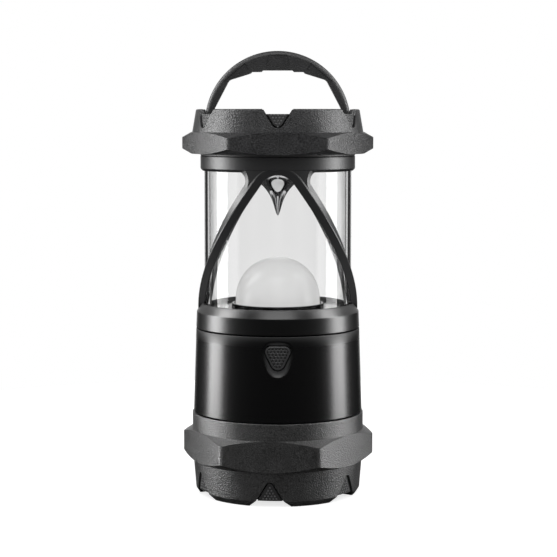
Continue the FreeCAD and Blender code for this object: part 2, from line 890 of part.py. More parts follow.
def arm_radius(z):
    """How far out an arm's ridge stands: under each ring's face by its sink, and evenly in between."""
    share = (z - lower_ring_top) / (upper_ring_bottom + arch_drop - lower_ring_top)
    share = min(max(share, 0.0), 1.0)
    foot = lower_ring_radius - arm_foot_sink
    return foot + (upper_ring_radius - arm_sink - foot) * share


def arm_section(along, z, lean):
    """One cross-section of an arch. along is measured round the cage from the front, lean is its slope."""
    turn = along / arm_reference_radius
    outward = Vector(math.sin(turn), -math.cos(turn), 0)
    sideways = Vector(math.cos(turn), math.sin(turn), 0)
    across = sideways * -math.sin(lean) + UP * math.cos(lean)
    inner = lens_radius + arm_lens_gap
    root = inner + arm_root
    ridge = arm_radius(z)
    profile = [(-arm_half_width, inner), (-arm_half_width, root), (-arm_ridge_half, ridge),
               (arm_ridge_half, ridge), (arm_half_width, root), (arm_half_width, inner)]
    points = [outward * radius + across * offset + UP * z for offset, radius in profile]
    return Part.makePolygon(points + points[:1])


def arch_stations():
    """Stations up the left arm of an arch and over its crown: distance round the cage, height and slope."""
    foot_z = lower_ring_top - arm_foot_depth
    bend_along = -crown_radius * math.sin(arm_lean)
    bend_z = crown_centre + crown_radius * math.cos(arm_lean)
    steps = 6
    arm, crown = [], []
    for i in range(steps + 1):
        below = (bend_z - foot_z) * (1 - i / steps)
        arm.append((bend_along - below / math.tan(arm_lean), bend_z - below, arm_lean))
        lean = arm_lean * (1 - 2 * i / steps)
        crown.append((-crown_radius * math.sin(lean), crown_centre + crown_radius * math.cos(lean), lean))
    return arm, crown


def loft(stations):
    return Part.makeLoft([arm_section(*station) for station in stations], True, False, False, 3)


def arch():
    """One arch of the cage, its crown on the front. Its feet stop halfway round, against the other arch's."""
    arm, crown = arch_stations()
    other_arm = [(-along, z, -lean) for along, z, lean in reversed(arm)]
    whole = loft(crown).multiFuse([loft(arm), loft(other_arm)])
    reach = 2 * lower_ring_radius
    return whole.common(block(-reach, reach, -reach, 0.0, body_top, upper_ring_top))


def web_outline(inset, middle, y):
    """The left half of the plate over the crown, its rounded corner taken in by inset. Drawn at a depth y."""
    outer = crown_radius + arm_half_width - inset
    edge_along, edge_z = -outer * math.sin(arm_lean), crown_centre + outer * math.cos(arm_lean)
    level = upper_ring_bottom + upper_ring_bevel / 2 + inset
    corner = edge_along + (level - edge_z) / math.tan(arm_lean)
    radius = web_round + inset
    reach = radius / math.tan(arm_lean / 2)
    on_ring = (corner - reach, level)
    on_arm = (corner - reach * math.cos(arm_lean), level - reach * math.sin(arm_lean))
    belly = (on_ring[0] + radius * math.cos(arm_lean / 2), level - radius + radius * math.sin(arm_lean / 2))
    bed = arm_half_width - inset
    in_arm = (on_arm[0] + bed * math.sin(arm_lean), on_arm[1] - bed * math.cos(arm_lean))
    bend, over, crown = [(-crown_radius * math.sin(lean), crown_centre + crown_radius * math.cos(lean))
                         for lean in (arm_lean, arm_lean / 2, 0.0)]
    top = level + web_top_rise

    def place(point):
        return Vector(point[0] - middle, y, point[1])

    def straight(*points):
        return [Part.makeLine(place(a), place(b)) for a, b in zip(points, points[1:])]

    edges = straight(on_arm, in_arm, bend)
    edges.append(Part.Arc(place(bend), place(over), place(crown)).toShape())
    edges += straight(crown, (0.0, top), (on_ring[0], top), on_ring)
    edges.append(Part.Arc(place(on_ring), place(belly), place(on_arm)).toShape())
    return Part.Wire(edges)


def arm_web():
    """The left half of the plate over the crown, beveled along its rounded corner with the upper ring."""
    middle = -crown_radius - web_round
    inner = lens_radius + web_lens_gap
    face = upper_ring_radius - web_sink
    root = web_outline(0.0, middle, -inner - arm_root)
    plate = Part.Face(root).extrude(Vector(0, inner, 0))
    bevel = Part.makeLoft([root, web_outline(web_bevel, middle, -face)], True, True)
    web = turned_by(plate.fuse(bevel), math.degrees(middle / arm_reference_radius))
    return web.common(tube(face, inner, lower_ring_top, upper_ring_top))


def guard_cage():
    web = arm_web()
    front = [arch(), web, web.mirror(CENTRE, Vector(1, 0, 0))]
    back = [turned_by(piece, 180) for piece in front]
    return lower_ring().multiFuse([upper_ring()] + front + back)


def housing_screws():
    seat = lens_seat - housing_head_height
    tip = flange_top - flange_thickness
    one = screw(housing_head_radius, housing_head_height, housing_screw_radius, seat, tip)
    return group([at_angle(one, angle, housing_screw_circle) for angle in housing_screw_angles()])


def lens_tube():
    return turned([(lens_bore, lens_bottom, fine_round), (lens_radius, lens_bottom, fine_round),
                   (lens_radius, lens_top, fine_round), (lens_bore, lens_top, fine_round)])


def lens_seal_bottom():
    return tube(lens_radius, lens_bore, lens_seat, lens_bottom)


def lens_seal_top():
    return tube(lens_radius, lens_bore, lens_top, cap_bottom)


# Light

def deck_screw_angles():
    return spread_angles(3, 90.0)


def led_screw_angles():
    return spread_angles(3, 30.0)


def drilled(shape, radius, bottom, top, angles, circle):
    for angle in angles:
        shape = shape.cut(at_angle(cylinder(radius, bottom, top), angle, circle))
    return shape


def heat_sink():
    throat = lens_seat_bore - sink_throat_gap
    bottom = body_top - sink_body_drop
    slab = turned([(0, bottom), (throat, bottom), (throat, lens_seat), (light_radius, lens_seat),
                   (light_radius, sink_top), (0, sink_top)])
    fin_bottom = bottom - sink_fin_height
    thin = sink_fin_thickness / 2
    fins = []
    for i in range(-sink_fins_each_side, sink_fins_each_side + 1):
        x = sink_fin_spacing * i
        half = math.sqrt(led_board_radius ** 2 - x ** 2)
        fins.append(block(x - thin, x + thin, -half, half, fin_bottom, bottom))
    sink = joined([slab] + fins)
    sink = sink.cut(cylinder(lead_hole_radius, fin_bottom, sink_top, 0, lead_offset))
    sink = drilled(sink, deck_screw_radius, lens_seat, sink_top, deck_screw_angles(), deck_screw_circle)
    return drilled(sink, led_screw_radius, lens_seat, sink_top, led_screw_angles(), led_screw_circle)


def led_board():
    board = cylinder(led_board_radius, sink_top, board_top)
    return drilled(board, led_screw_radius, sink_top, board_top, led_screw_angles(), led_screw_circle)


def led_board_screws():
    one = screw(led_head_radius, small_head_height, led_screw_radius, board_top, lens_seat)
    return group([at_angle(one, angle, led_screw_circle) for angle in led_screw_angles()])


def led_chips():
    half = led_size / 2
    chip = block(-half, half, -half, half, board_top, board_top + led_height)
    return group([chip] + [at_angle(chip, angle, led_circle) for angle in spread_angles(led_count)])


def light_deck():
    inner = light_radius - deck_skirt
    hole = dome_radius + dome_deck_gap
    bezel_top = deck_top + bezel_height
    deck = turned([(inner, sink_top), (light_radius, sink_top), (light_radius, deck_top, fine_round),
                   (hole + bezel_width, deck_top), (hole + bezel_width, bezel_top, fine_round),
                   (hole, bezel_top, fine_round), (hole, deck_bottom), (inner, deck_bottom)])
    angles = deck_screw_angles()
    deck = drilled(deck, deck_screw_radius, deck_bottom, deck_top, angles, deck_screw_circle)
    seat = deck_top - small_head_height
    return drilled(deck, deck_head_radius + pin_gap, seat, deck_top, angles, deck_screw_circle)


def deck_screws():
    seat = deck_top - small_head_height
    one = screw(deck_head_radius, small_head_height, deck_screw_radius, seat, lens_seat)
    return group([at_angle(one, angle, deck_screw_circle) for angle in deck_screw_angles()])


def dome_curve(radius, spring, rise):
    """A quarter ellipse from the top of the straight wall to the crown."""
    turns = [math.radians(15 * i) for i in range(7)]
    return [(radius * math.cos(turn), spring + rise * math.sin(turn)) for turn in turns]


def led_dome():
    spring = deck_top + dome_straight
    rise = dome_height - dome_straight
    hollow = dome_radius - dome_wall
    flange = led_board_radius
    outer = dome_curve(dome_radius - dome_draft, spring, rise)
    inner = dome_curve(hollow - dome_draft, spring, rise - dome_wall)
    outline = [inner[0], (hollow, board_top), (flange, board_top), (flange, deck_bottom),
               (dome_radius, deck_bottom), outer[0]]
    edges = [line(a, b) for a, b in zip(outline, outline[1:])]
    return spun(edges + [smooth_edge(outer), line(outer[-1], inner[-1]), smooth_edge(inner)])


def horn_radius(z):
    """The horn's radius grows by the same share for each step up, and its tip is drawn in to a point."""
    rise = z - horn_tip
    point = (horn_tip_radius - horn_point_radius) * math.exp(-rise / horn_point_height)
    return horn_tip_radius * math.exp(horn_growth * rise) - point


def reflector():
    """The horn, with posts for the cap's screws on its back."""
    rim = horn_tip + math.log(horn_rim_radius / horn_tip_radius) / horn_growth
    heights = [horn_tip + (rim - horn_tip) * i / 10 for i in range(11)]
    curve = [(horn_radius(z), z) for z in heights]
    inside = horn_rim_radius - horn_wall
    back = [(inside, rim + horn_wall), (horn_post_radius, heights[8]), (0, heights[8])]
    rim_corners = [curve[-1], (horn_rim_radius, cap_bottom), (inside, cap_bottom)]
    outline = rim_corners + back + [(0, horn_tip), curve[0]]
    horn = spun([smooth_edge(curve)] + [line(a, b) for a, b in zip(outline, outline[1:])])
    behind = turned(back + [(0, cap_ceiling), (inside, cap_ceiling)])
    post = cylinder(horn_post_radius, horn_tip, cap_ceiling)
    hole = cylinder(cap_screw_radius, cap_ceiling - cap_screw_depth, cap_ceiling)
    post = post.cut(hole)
    posts = [at_angle(post, angle, cap_screw_circle).common(behind) for angle in cap_screw_angles()]
    return joined([horn] + posts)


# Cap and bail

def cap_screw_angles():
    return spread_angles(3, 90.0)


def cap_body():
    collar_top = cap_top - cap_collar_drop
    step = upper_ring_top + cap_step_gap
    cup = turned([(0, cap_ceiling), (cap_skirt_bore, cap_ceiling), (cap_skirt_bore, cap_bottom),
                  (lens_radius, cap_bottom), (lens_radius, step), (cap_collar_radius, step),
                  (cap_collar_radius, collar_top, fine_round), (cap_well_radius, collar_top, fine_round),
                  (cap_well_radius, deck_level, edge_round), (0, deck_level)])
    cup = joined([cup] + around(cap_pad(), notch_count))
    cup = cup.cut(rod_along("x", pivot_pin_radius, -cap_collar_radius - 1, cap_collar_radius + 1, pivot_z))
    return drilled(cup, cap_screw_radius, cap_ceiling, deck_level, cap_screw_angles(), cap_screw_circle)


def cap_screws():
    tip = cap_ceiling - cap_screw_depth
    one = screw(cap_head_radius, cap_head_height, cap_screw_radius, deck_level, tip)
    return group([at_angle(one, angle, cap_screw_circle) for angle in cap_screw_angles()])


def cap_notch(inset):
    """One notch of the cap's rim, on the front, taken in by an inset."""
    drop = cap_notch_half_width / cap_notch_slope - inset / math.sin(math.atan(cap_notch_slope))
    half = drop * cap_notch_slope
    right = [(half, cap_top), (half, cap_top + 1)]
    left = [(-x, z) for x, z in reversed(right)]
    tip = (0, cap_top - drop, cap_notch_round - inset)
    return pushed_along_y([tip] + right + left, -cap_hex_corner, -cap_well_radius)


def cap_pad():
    wall_height = cap_top - cap_guard_bottom - cap_hex_height + edge_round
    flare = (cap_foot_radius - cap_top_radius) / wall_height
    low = cap_top - cap_notch_half_width / cap_notch_slope
    high = cap_top - cap_collar_drop
    low_face, high_face = [cap_top_radius + flare * (cap_top - z) - notch_pad_drop for z in (low, high)]
    return notch_pad(cap_notch(notch_pad_gap), cap_collar_radius, low, high, low_face, high_face)


def top_bumper():
    bore = cap_collar_radius + seat_gap
    hex_top = cap_guard_bottom + cap_hex_height
    skin = turned([(bore, cap_guard_bottom), (cap_foot_radius, cap_guard_bottom),
                   (cap_foot_radius, hex_top - edge_round), (cap_top_radius, cap_top, edge_round),
                   (bore, cap_top, fine_round)])
    band = hex_band(cap_hex_face, cap_hex_corner, cap_guard_bottom, cap_hex_height, cap_hex_edge_height)
    guard = joined([skin, band.cut(cylinder(bore, cap_guard_bottom, hex_top))])
    for cutter in around(cap_notch(0.0), notch_count):
        guard = guard.cut(cutter)
    return guard


def bail_pivots():
    inner = bail_radius - bail_arm_width - edge_round
    pin = rod_along("x", pivot_pin_radius, inner, cap_collar_radius, pivot_z)
    return group([pin, pin.mirror(CENTRE, Vector(1, 0, 0))])


def bail_panels():
    """Outlines of the shallow panels sunk in both faces of the bail: one in the middle, one on each side."""
    low, high = pivot_z + bail_grip_rise + panel_margin, pivot_z + bail_radius - panel_margin
    narrow = panel_half_width - panel_taper
    middle = [(-panel_half_width, low, edge_round), (-narrow, high, edge_round), (narrow, high, edge_round),
              (panel_half_width, low, edge_round)]
    outer = bail_radius - panel_margin
    right = []
    for radius, degrees in ((outer, side_panel_low), (outer, side_panel_high),
                            (outer - side_panel_top_width, side_panel_high),
                            (outer - side_panel_foot_width, side_panel_low)):
        turn = math.radians(degrees)
        right.append((radius * math.cos(turn), pivot_z + radius * math.sin(turn), fine_round))
    left = [(-x, z, radius) for x, z, radius in reversed(right)]
    return [middle, left, right]


def bail_space():
    """The outline of the opening under the bail, with small finger steps along the grip."""
    inside = bail_radius - bail_arm_width
    under = pivot_z + bail_grip_rise
    right = [(inside, pivot_z - bail_depth), (inside, pivot_z + bail_arm_rise),
             (bail_elbow_x, pivot_z + bail_elbow_rise, bail_elbow_round),
             (grip_outer_step, under - 2 * grip_step), (grip_outer_step - grip_step, under - grip_step),
             (grip_inner_step, under - grip_step), (grip_inner_step - grip_step, under)]
    left = [(-corner[0],) + corner[1:] for corner in reversed(right)]
    return right + left


def bail_handle():
    half = bail_depth / 2
    ring = rod_along("y", bail_radius, -half, half, pivot_z)
    rims = [edge for edge in ring.Edges if edge.BoundBox.YLength < 1e-6]
    ring = ring.makeFillet(bail_edge_round, rims)
    upper = block(-bail_radius, bail_radius, -half, half, pivot_z, pivot_z + bail_radius)
    legs = rod_along("x", half, -bail_radius, bail_radius, pivot_z)
    bail = joined([ring.common(upper), legs]).cut(pushed_along_y(bail_space(), -bail_depth, bail_depth))
    for outline in bail_panels():
        bail = bail.cut(pushed_along_y(outline, -bail_depth, panel_depth - half))
        bail = bail.cut(pushed_along_y(outline, half - panel_depth, bail_depth))
    bore = rod_along("x", pivot_pin_radius + pin_gap, -bail_radius - 1, bail_radius + 1, pivot_z)
    return bail.cut(bore)


NODES = [base_core, base_bumper, base_pad,
         carrier_bottom_plate, carrier_top_plate, carrier_core, carrier_screws,
         battery_cells, cell_springs, cell_contacts, carrier_terminals,
         body_shell, base_oring, contact_springs, driver_board, driver_components, led_leads,
         tact_switch, switch_board, power_button, switch_plunger,
         guard_cage, housing_screws, lens_tube, lens_seal_bottom, lens_seal_top,
         heat_sink, led_board, led_board_screws, led_chips, light_deck, deck_screws, led_dome, reflector,
         cap_body, cap_screws, top_bumper, bail_pivots, bail_handle]

os.makedirs("parts", exist_ok=True)
for make in NODES:
    shape = make()
    shape.exportStep("parts/" + make.__name__ + ".step")
    print(make.__name__, len(shape.Solids), "solids, valid:", shape.isValid(), round(shape.Volume, 1), "mm3")
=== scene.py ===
import math

import bpy
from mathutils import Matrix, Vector


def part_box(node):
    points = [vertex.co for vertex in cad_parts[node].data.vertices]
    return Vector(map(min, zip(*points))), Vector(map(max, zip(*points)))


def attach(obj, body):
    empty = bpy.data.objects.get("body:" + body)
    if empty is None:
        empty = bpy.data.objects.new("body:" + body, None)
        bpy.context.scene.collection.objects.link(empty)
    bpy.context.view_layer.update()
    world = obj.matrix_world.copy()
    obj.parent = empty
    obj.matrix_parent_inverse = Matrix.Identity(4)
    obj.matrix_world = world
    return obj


# Camping lantern: finishes, small surface detail, studio and camera. Metres, +Z up, the button faces -Y.

MM = 0.001

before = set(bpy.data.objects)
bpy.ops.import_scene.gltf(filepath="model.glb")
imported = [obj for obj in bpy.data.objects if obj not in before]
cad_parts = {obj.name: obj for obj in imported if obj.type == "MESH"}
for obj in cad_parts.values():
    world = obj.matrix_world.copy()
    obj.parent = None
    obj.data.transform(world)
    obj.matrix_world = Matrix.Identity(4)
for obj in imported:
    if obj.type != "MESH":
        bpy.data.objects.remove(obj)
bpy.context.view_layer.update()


# Node helpers

EVENLY = (1.0, 1.0, 1.0)
FLATTENED = (1.0, 1.0, 0.0)

# Most of a noise lies in this part of the range from 0 to 1
MIDDLE = (0.3, 0.7)
WHOLE = (0.0, 1.0)


def grey(level):
    """A neutral colour for an input, with its alpha."""
    return (level, level, level, 1.0)


def scaled(colour, factor):
    """A colour with each channel times a factor."""
    return tuple(channel * factor for channel in colour)


def set_inputs(node, values):
    """Gives some inputs of a node fixed values."""
    for name, value in values.items():
        node.inputs[name].default_value = value


def shader_of(mat):
    """The shader of a node material."""
    return mat.node_tree.nodes["Principled BSDF"]


def new_material(name):
    """A node material and its shader."""
    mat = bpy.data.materials.new(name)
    mat.use_nodes = True
    return mat, shader_of(mat)


def add(tree, kind, inputs=None, **settings):
    """A new node, with its settings and the values of its inputs."""
    made = tree.nodes.new("ShaderNode" + kind)
    for name, value in settings.items():
        setattr(made, name, value)
    set_inputs(made, inputs or {})
    return made


def place_in_part(tree, stretch):
    """Places in the part's own frame, in metres, squeezed along each axis by stretch."""
    scaling = add(tree, "Mapping", {"Scale": stretch})
    tree.links.new(add(tree, "TexCoord").outputs["Object"], scaling.inputs["Vector"])
    return scaling.outputs["Vector"]


def place_along(tree, axis):
    """How far along an axis of the part's own frame a place is."""
    split = add(tree, "SeparateXYZ")
    tree.links.new(add(tree, "TexCoord").outputs["Object"], split.inputs["Vector"])
    return split.outputs[axis]


def place_from_middle(tree):
    """How far a place is from the lantern's upright middle line."""
    reach = add(tree, "VectorMath", operation="LENGTH")
    tree.links.new(place_in_part(tree, FLATTENED), reach.inputs[0])
    return reach.outputs["Value"]


def noise(tree, size, detail=2.0, stretch=EVENLY):
    """Cloudy noise whose grains are about size wide."""
    texture = add(tree, "TexNoise", {"Scale": 1 / size, "Detail": detail})
    tree.links.new(place_in_part(tree, stretch), texture.inputs["Vector"])
    return texture.outputs["Fac"]


def pips(tree, size):
    """Round hollows about size wide, packed side by side."""
    texture = add(tree, "TexVoronoi", {"Scale": 1 / size})
    tree.links.new(place_in_part(tree, EVENLY), texture.inputs["Vector"])
    return texture.outputs["Distance"]


def graded(tree, value, ends, levels):
    """A number that goes between two levels while a value goes between two ends."""
    made = add(tree, "MapRange", {"From Min": ends[0], "From Max": ends[1],
                                  "To Min": levels[0], "To Max": levels[1]})
    tree.links.new(value, made.inputs["Value"])
    return made.outputs["Result"]


def worked_out(tree, operation, first, second=None):
    """The result of a sum on one or two numbers, each fixed or from another node."""
    made = add(tree, "Math", operation=operation)
    for value, place in zip((first, second), made.inputs):
        if isinstance(value, float):
            place.default_value = value
        elif value is not None:
            tree.links.new(value, place)
    return made.outputs["Value"]


def chosen(tree, switch, off, on):
    """One number where the switch is 0, and another where it is 1."""
    made = add(tree, "Mix")
    tree.links.new(switch, made.inputs["Factor"])
    tree.links.new(off, made.inputs["A"])
    tree.links.new(on, made.inputs["B"])
    return made.outputs["Result"]


def blend_colours(tree, factor, dark, light):
    """A colour that goes from dark to light over the middle of a factor's range."""
    ramp = add(tree, "ValToRGB")
    for stop, position, colour in zip(ramp.color_ramp.elements, MIDDLE, (dark, light)):
        stop.position = position
        stop.color = (*colour, 1.0)
    tree.links.new(factor, ramp.inputs["Fac"])
    return ramp.outputs["Color"]


def bump(tree, height, depth):
    """Fine relief from a pattern, which goes from 0 to 1 over its depth."""
    made = add(tree, "Bump", {"Distance": depth})
    tree.links.new(height, made.inputs["Height"])
    return made.outputs["Normal"]


# Kinds of finish

cloud_size = 9 * MM
gloss_drift = 0.03
speck_detail = 3.0
mark_detail = 4.0
mark_shade = 0.88
mark_gloss_drift = 0.2


def moulded(name, colour, roughness, grain, depth, mottle=0.12, pattern=noise):
    """A moulded plastic or rubber with a fine grain and slightly uneven colour and gloss."""
    mat, shader = new_material(name)
    tree = mat.node_tree
    cloud = noise(tree, cloud_size)
    tint = blend_colours(tree, cloud, scaled(colour, 1 - mottle), scaled(colour, 1 + mottle))
    gloss = graded(tree, cloud, MIDDLE, (roughness - gloss_drift, roughness + gloss_drift))
    tree.links.new(tint, shader.inputs["Base Color"])
    tree.links.new(gloss, shader.inputs["Roughness"])
    tree.links.new(bump(tree, pattern(tree, grain), depth), shader.inputs["Normal"])
    return mat


def metal(name, colour, roughness, grain, depth, stretch=EVENLY):
    """A bare metal with fine marks, drawn out along an axis where stretch is below one."""
    mat, shader = new_material(name)
    tree = mat.node_tree
    marks = noise(tree, grain, mark_detail, stretch)
    tint = blend_colours(tree, marks, scaled(colour, mark_shade), colour)
    drift = roughness * mark_gloss_drift
    gloss = graded(tree, marks, MIDDLE, (roughness - drift, roughness + drift))
    set_inputs(shader, {"Metallic": 1.0})
    tree.links.new(tint, shader.inputs["Base Color"])
    tree.links.new(gloss, shader.inputs["Roughness"])
    tree.links.new(bump(tree, marks, depth), shader.inputs["Normal"])
    return mat


def speckled(mat, size, share):
    """Adds specks about size wide, darker and lighter than the finish by up to a share of its colour."""
    tree = mat.node_tree
    colour = shader_of(mat).inputs["Base Color"]
    level = graded(tree, noise(tree, size, speck_detail), MIDDLE, (1 - share, 1 + share))
    shade = add(tree, "VectorMath", operation="SCALE")
    tree.links.new(colour.links[0].from_socket, shade.inputs["Vector"])
    tree.links.new(level, shade.inputs["Scale"])
    tree.links.new(shade.outputs["Vector"], colour)


def tinted(mat, share, dark, light):
    """Takes a finish from a dark colour where a share is 0 to a light one where it is 1."""
    tree = mat.node_tree
    tree.links.new(blend_colours(tree, share, dark, light), shader_of(mat).inputs["Base Color"])


# Outside finishes

guard_grain = 0.54 * MM
guard_grain_depth = 0.12 * MM
guard_speck = 0.55 * MM
guard_speck_share = 0.9


def guard_plastic(name, colour, roughness, specular):
    """Grained plastic of the guards, with dark and pale specks."""
    mat = moulded(name, colour, roughness, guard_grain, guard_grain_depth, pattern=pips)
    set_inputs(shader_of(mat), {"Specular IOR Level": specular})
    speckled(mat, guard_speck, guard_speck_share)
    return mat


# The cap's and the foot's guards are one plastic in two copies; the foot's is coloured a little darker,
# painted shade for the lesser light that falls on it
def cap_guard_plastic():
    return guard_plastic("cap guard plastic", (0.024, 0.024, 0.025), roughness=0.36, specular=0.38)


def foot_guard_shaded_plastic():
    return guard_plastic("foot guard plastic", (0.022, 0.022, 0.022), roughness=0.38, specular=1.0)


def core_plastic():
    return moulded("core plastic", (0.02, 0.02, 0.0205), roughness=0.5, grain=0.4 * MM, depth=0.06 * MM)


def stud_painted_light_plastic():
    """The core's plastic on the tops of its studs, coloured paler than the core: painted light for the light
    the stud tops catch.
    """
    return moulded("stud plastic", (0.06, 0.06, 0.062), roughness=0.5, grain=0.4 * MM, depth=0.03 * MM)


# Between these heights the lower ring's finish goes over into that of the arms
ring_to_arm_heights = (82 * MM, 90 * MM)
lower_ring_colour = (0.003, 0.003, 0.0033)
lower_ring_roughness = 0.3
cage_colour = (0.017, 0.017, 0.018)
cage_roughness = 0.4


def cage_plastic():
    """Satin on the arms and the upper ring, and glossier and blacker on the lower ring."""
    mat = moulded("cage plastic", cage_colour, cage_roughness, grain=0.25 * MM, depth=0.02 * MM)
    tree = mat.node_tree
    satin = graded(tree, place_along(tree, "Z"), ring_to_arm_heights, WHOLE)
    tinted(mat, satin, lower_ring_colour, cage_colour)
    gloss = graded(tree, satin, MIDDLE, (lower_ring_roughness, cage_roughness))
    tree.links.new(gloss, shader_of(mat).inputs["Roughness"])
    return mat


# The body's cone, at its bottom and its top
body_heights = (37.3 * MM, 75.2 * MM)
body_radii = (38.35 * MM, 37.1 * MM)
body_gloss_colour = (0.0025, 0.0025, 0.0027)
body_gloss_roughness = 0.25
body_matt_painted_light_colour = (0.02, 0.02, 0.021)
body_matt_roughness = 0.6
body_specular = 0.4
dish_depth = 0.9 * MM
dull_painted_light_height = 5 * MM
dull_painted_light_share = 0.6


def body_plastic():
    """Glossy black, matt in the dish, where the surface lies below the body's cone, and dull at the top. Both
    are also coloured lighter, partly the matt finish and partly painted light, standing in for the soft glow
    of light the dish and the top band catch.
    """
    mat = moulded("body plastic", body_gloss_colour, body_gloss_roughness, grain=0.3 * MM, depth=0.006 * MM)
    set_inputs(shader_of(mat), {"Specular IOR Level": body_specular})
    tree = mat.node_tree
    height = place_along(tree, "Z")
    body_top = body_heights[1]
    cone = graded(tree, height, body_heights, body_radii)
    sunk = worked_out(tree, "SUBTRACT", cone, place_from_middle(tree))
    in_dish = graded(tree, sunk, (0.0, dish_depth), WHOLE)
    at_top = graded(tree, height, (body_top - dull_painted_light_height, body_top), (0.0, dull_painted_light_share))
    matt = worked_out(tree, "MAXIMUM", in_dish, at_top)
    # Painted light: the dish and the top band are coloured lighter as well as rougher
    tinted(mat, matt, body_gloss_colour, body_matt_painted_light_colour)
    gloss = graded(tree, matt, WHOLE, (body_gloss_roughness, body_matt_roughness))
    tree.links.new(gloss, shader_of(mat).inputs["Roughness"])
    return mat


bail_grain = 0.5 * MM
bail_speck_share = 0.25


def bail_plastic():
    mat = moulded("bail plastic", (0.022, 0.022, 0.023), roughness=0.46, grain=bail_grain, depth=0.2 * MM)
    speckled(mat, bail_grain, bail_speck_share)
    return mat


def button_rubber():
    return moulded("button rubber", (0.036, 0.036, 0.037), roughness=0.3, grain=0.2 * MM, depth=0.02 * MM)


pad_colour = (0.03, 0.03, 0.031)
# Painted shade: the pits are coloured darker where shade falls in them
pit_painted_shade_colour = (0.003, 0.003, 0.003)


def pad_rubber(front, back):
    """The button's rubber with painted shade in the pits: graded darker from the front of the pad to the back
    of its pits.
    """
    mat = moulded("pad rubber", pad_colour, roughness=0.5, grain=0.2 * MM, depth=0.02 * MM)
    tree = mat.node_tree
    tinted(mat, graded(tree, place_along(tree, "Y"), (back, front), WHOLE), pit_painted_shade_colour, pad_colour)
    return mat


def seal_rubber():
    return moulded("seal rubber", (0.012, 0.012, 0.012), roughness=0.65, grain=0.3 * MM, depth=0.02 * MM)


deck_specular = 0.9


def deck_plastic():
    """Polished black floor, which shows the white behind the lantern."""
    mat = moulded("deck plastic", (0.008, 0.008, 0.0085), roughness=0.08, grain=0.35 * MM, depth=0.001 * MM)
    set_inputs(shader_of(mat), {"Specular IOR Level": deck_specular})
    return mat


# Light finishes

# A radius between the lens's bore and its outer face
lens_inside = 32.3 * MM
lens_clear = 0.96
lens_glint = 0.2
lens_haze = 0.012
lens_flow_size = 30 * MM
lens_flow_stretch = (1.0, 1.0, 0.25)

# How clear the lens's outer face is from square on, 0, to edge on, 1: a little grey in the middle, clear
# beside it, and darkest where it is seen along the bore. The grey middle and the dark band are painted shade,
# standing in for reflection and refraction in the wall
LENS_PAINTED_SHADE = ((0.14, 0.8), (0.18, 1.0), (0.43, 1.0), (0.5, 0.74), (0.585, 0.72),
             (0.607, 0.04), (0.622, 0.04), (0.645, 0.9))


def lens_painted_shade(tree):
    """Clear on the bore, and over the outer face painted shade graded from square on to edge on."""
    painted_grade = add(tree, "ValToRGB")
    stops = painted_grade.color_ramp.elements
    while len(stops) < len(LENS_PAINTED_SHADE):
        stops.new(LENS_PAINTED_SHADE[len(stops)][0])
    for stop, (position, clear) in zip(stops, LENS_PAINTED_SHADE):
        stop.position = position
        stop.color = grey(clear)
    tree.links.new(add(tree, "LayerWeight").outputs["Facing"], painted_grade.inputs["Fac"])
    outer = worked_out(tree, "GREATER_THAN", place_from_middle(tree), lens_inside)
    tint = add(tree, "MixRGB", {"Color1": grey(lens_clear)})
    tree.links.new(outer, tint.inputs["Fac"])
    tree.links.new(painted_grade.outputs["Color"], tint.inputs["Color2"])
    return tint.outputs["Color"]


def clear_lens():
    """Clear moulded tube. Lamps and soft light reach what is inside it straight through."""
    mat, shader = new_material("clear lens")
    tree = mat.node_tree
    set_inputs(shader, {"Transmission Weight": 1.0, "IOR": 1.5, "Specular Tint": grey(lens_glint)})
    flow = noise(tree, lens_flow_size, detail=1.0, stretch=lens_flow_stretch)
    tree.links.new(graded(tree, flow, MIDDLE, (0.0, lens_haze)), shader.inputs["Roughness"])
    # The outer face's colour is painted shade: grey in the middle and dark near the edge
    tree.links.new(lens_painted_shade(tree), shader.inputs["Base Color"])
    open_air = add(tree, "BsdfTransparent", {"Color": grey(lens_clear)})
    path = add(tree, "LightPath").outputs
    straight = worked_out(tree, "MAXIMUM", path["Is Shadow Ray"], path["Is Diffuse Ray"])
    either = add(tree, "MixShader")
    tree.links.new(straight, either.inputs["Fac"])
    tree.links.new(shader.outputs["BSDF"], either.inputs[1])
    tree.links.new(open_air.outputs["BSDF"], either.inputs[2])
    tree.links.new(either.outputs["Shader"], tree.nodes["Material Output"].inputs["Surface"])
    return mat


dome_colour = (0.48, 0.48, 0.48)
dome_specular = 0.25
# Painted light: the dome glows evenly though the lantern's lamp is off
dome_painted_glow_colour = (1.0, 1.0, 0.99, 1.0)
dome_painted_glow = 0.385


def white_diffuser():
    """Milky white dome given a faint even glow, painted light that stands in for light coming through it from
    behind.
    """
    mat = moulded("white diffuser", dome_colour, roughness=0.14, grain=0.3 * MM, depth=0.002 * MM,
                  mottle=0.02)
    set_inputs(shader_of(mat), {"Specular IOR Level": dome_specular, "Emission Color": dome_painted_glow_colour,
                                "Emission Strength": dome_painted_glow})
    return mat


def mirror_reflector():
    return metal("mirror reflector", (0.88, 0.88, 0.89), roughness=0.05, grain=6 * MM, depth=0.002 * MM)


# Finishes inside

def carrier_plastic():
    return moulded("carrier plastic", (0.025, 0.025, 0.026), roughness=0.45, grain=0.4 * MM, depth=0.02 * MM)


def screw_steel():
    return metal("screw steel", (0.56, 0.56, 0.57), roughness=0.3, grain=0.4 * MM, depth=0.004 * MM)


def spring_steel():
    return metal("spring steel", (0.62, 0.61, 0.6), roughness=0.25, grain=0.3 * MM, depth=0.003 * MM)


def contact_brass():
    """Rolled brass, with its marks drawn out from front to back."""
    return metal("contact brass", (0.78, 0.62, 0.34), roughness=0.32, grain=0.5 * MM, depth=0.004 * MM,
                 stretch=(1.0, 0.15, 1.0))


